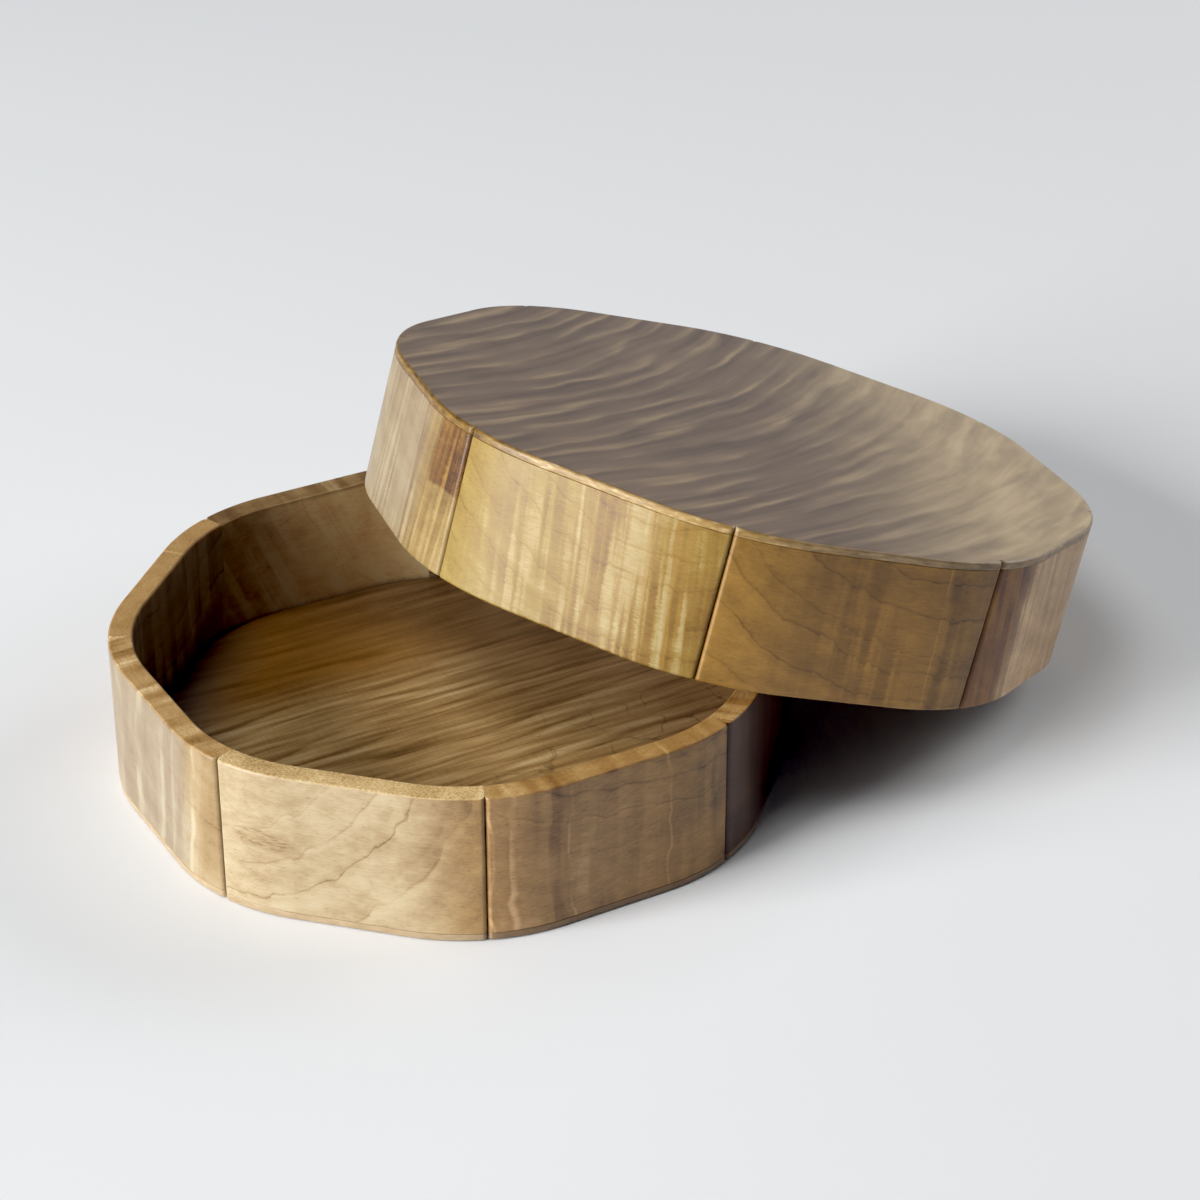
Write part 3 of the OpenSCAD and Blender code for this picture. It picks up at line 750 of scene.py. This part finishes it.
FLOOR_LOOK = dict(
    face=("#5A4224", "#9F7B48", "#CDA86F", "#F3DAA5"), far=("#563913", "#8D6325", "#AB7C39", "#C89853"),
    bearing=math.radians(90), turn=(22.0, 42.0), tilt=0.0, bow=0.0, stripe=5.6,
    profile=FLOOR_STRIPE, stripe_depth=0.46, strength_from=0.0, sway=2.8, wander=5.0, wisps=(30.0, 1.8, 0.36),
    faded=0.45, quilt=0.1, edge=("#5E4A31", "#A08660", "#BAA482", "#CCBC9C"),
    edge_far=("#4A3823", "#765E42", "#8E7250", "#B09266"), edge_turn=(-36.0, -28.0), edge_mottle=0.4,
    # Painted shade on the floor: along the left wall, and on the right where the lid shades it
    edge_deep=0.0, painted_shading=((("#3A2E20", "#5E4C36", "#78634A", "#948064"), math.radians(150), 46.0, 72.0),
                           (("#3E2C16", "#6E5330", "#8F7048", "#B39468"), math.radians(25), 2.0, 52.0)),
    crackle=(math.radians(-70), 5.0, 40.0))
top_wood = panel_wood("oiled curly hardwood, lid top", LID_PLACE, **TOP_LOOK)
floor_wood = panel_wood("oiled curly hardwood, base floor", BASE_PLACE, **FLOOR_LOOK)
make_panel("base_bottom_panel", BASE_APOTHEM, BASE_BEND, BASE_WALL, lambda h: h, BASE_PLACE,
           floor_wood, "base")
make_panel("lid_top_panel", LID_APOTHEM, LID_BEND, LID_WALL, lambda h: LID_HEIGHT - h, LID_PLACE,
           top_wood, "lid")

# Table, light and camera

# The table lies a hair below the foot, so that the two don't share a plane
TABLE_REACH = 6.0
TABLE_DROP = 0.1 * MM
table_mesh = bpy.data.meshes.new("table")
corners = [(-1, -1), (1, -1), (1, 1), (-1, 1)]
table_mesh.from_pydata([(x * TABLE_REACH, y * TABLE_REACH, -TABLE_DROP) for x, y in corners], [],
                       [(0, 1, 2, 3)])
# Matt paper, pressed smooth: the eye sees a pale grey with no shine
paper = bpy.data.materials.new("matt white paper")
paper.use_nodes = True
sheet = paper.node_tree.nodes["Principled BSDF"]
sheet.inputs["Base Color"].default_value = linear("#EAECEE")
sheet.inputs["Roughness"].default_value = 0.85
table_mesh.materials.append(paper)
table = bpy.data.objects.new("table", table_mesh)
bpy.context.scene.collection.objects.link(table)

# Soft lights stand this far from a point in the bento box's middle, in metres
LIGHT_DISTANCE = 2.6
LIGHT_AIM = Vector((0.03, 0.0, 0.03))


def soft_light(name, bearing, elevation, size, power):
    """A square soft light, in metres and watts, that faces the middle of the bento box."""
    lamp = bpy.data.lights.new(name, "AREA")
    lamp.shape = "SQUARE"
    lamp.size = size
    lamp.energy = power
    light = bpy.data.objects.new(name, lamp)
    a, e = math.radians(bearing), math.radians(elevation)
    towards = Vector((math.cos(a) * math.cos(e), math.sin(a) * math.cos(e), math.sin(e)))
    light.location = LIGHT_AIM + towards * LIGHT_DISTANCE
    light.rotation_euler = towards.to_track_quat("Z", "Y").to_euler()
    bpy.context.scene.collection.objects.link(light)


soft_light("low_window_light", bearing=180, elevation=18, size=1.4, power=106.0)
soft_light("high_window_light", bearing=188, elevation=68, size=1.2, power=22.0)
soft_light("right_fill_light", bearing=0, elevation=26, size=1.7, power=35.0)

# A dim room with one pale wall low behind the box, which the lid's top mirrors as a haze
PALE_WALL = Vector((0.62, 0.77, 0.12)).normalized()
ROOM_GLOW, WALL_GLOW = 0.01, 0.45
ROOM_TINT = (0.97, 0.98, 1.0, 1.0)
world = bpy.data.worlds.new("studio")
bpy.context.scene.world = world
world.use_nodes = True
studio = world.node_tree
studio.nodes.clear()
heading = add(studio, "ShaderNodeTexCoord")["Generated"]
wall = add(studio, "ShaderNodeVectorMath", {0: heading, 1: PALE_WALL}, operation="DOT_PRODUCT")["Value"]
wall = add(studio, "ShaderNodeMapRange", {0: wall, 1: 0.6, 2: 0.95}, interpolation_type="SMOOTHSTEP")[0]
low = add(studio, "ShaderNodeSeparateXYZ", {0: heading})["Z"]
low = add(studio, "ShaderNodeMapRange", {0: low, 1: 0.42, 2: 0.12}, interpolation_type="SMOOTHSTEP")[0]
wall = add(studio, "ShaderNodeMath", {0: wall, 1: low}, operation="MULTIPLY")[0]
glow = add(studio, "ShaderNodeMath", {0: wall, 1: WALL_GLOW, 2: ROOM_GLOW}, operation="MULTIPLY_ADD")[0]
air = add(studio, "ShaderNodeBackground", {"Color": ROOM_TINT, "Strength": glow})[0]
add(studio, "ShaderNodeOutputWorld", {"Surface": air})

# The camera's place in millimetres, its heading and its lens, found from the photograph's outlines
CAMERA_PLACE = Vector((-299.795, -592.443, 414.547))
CAMERA_FORWARD = Vector((0.43515, 0.75552, -0.48972))
CAMERA_UP = Vector((0.24442, 0.42437, 0.87188))
FOCAL_LENGTH = 94.44
lens = bpy.data.cameras.new("camera")
lens.sensor_width = 36.0
lens.lens = FOCAL_LENGTH
lens.clip_start = 0.01
lens.clip_end = 20.0
camera = bpy.data.objects.new("camera", lens)
forward = CAMERA_FORWARD.normalized()
right = forward.cross(CAMERA_UP).normalized()
above = right.cross(forward)
aim = Matrix((right, above, -forward)).transposed().to_4x4()
camera.matrix_world = Matrix.Translation(CAMERA_PLACE * MM) @ aim
bpy.context.scene.collection.objects.link(camera)
bpy.context.scene.camera = camera
view = bpy.context.scene.view_settings
view.view_transform = "Standard"
# The photograph's shadows are printed dark
SHADOW_CUT = (0.02, 0.0145, 0.0075)
view.use_curve_mapping = True
view.curve_mapping.black_level = SHADOW_CUT
view.curve_mapping.update()
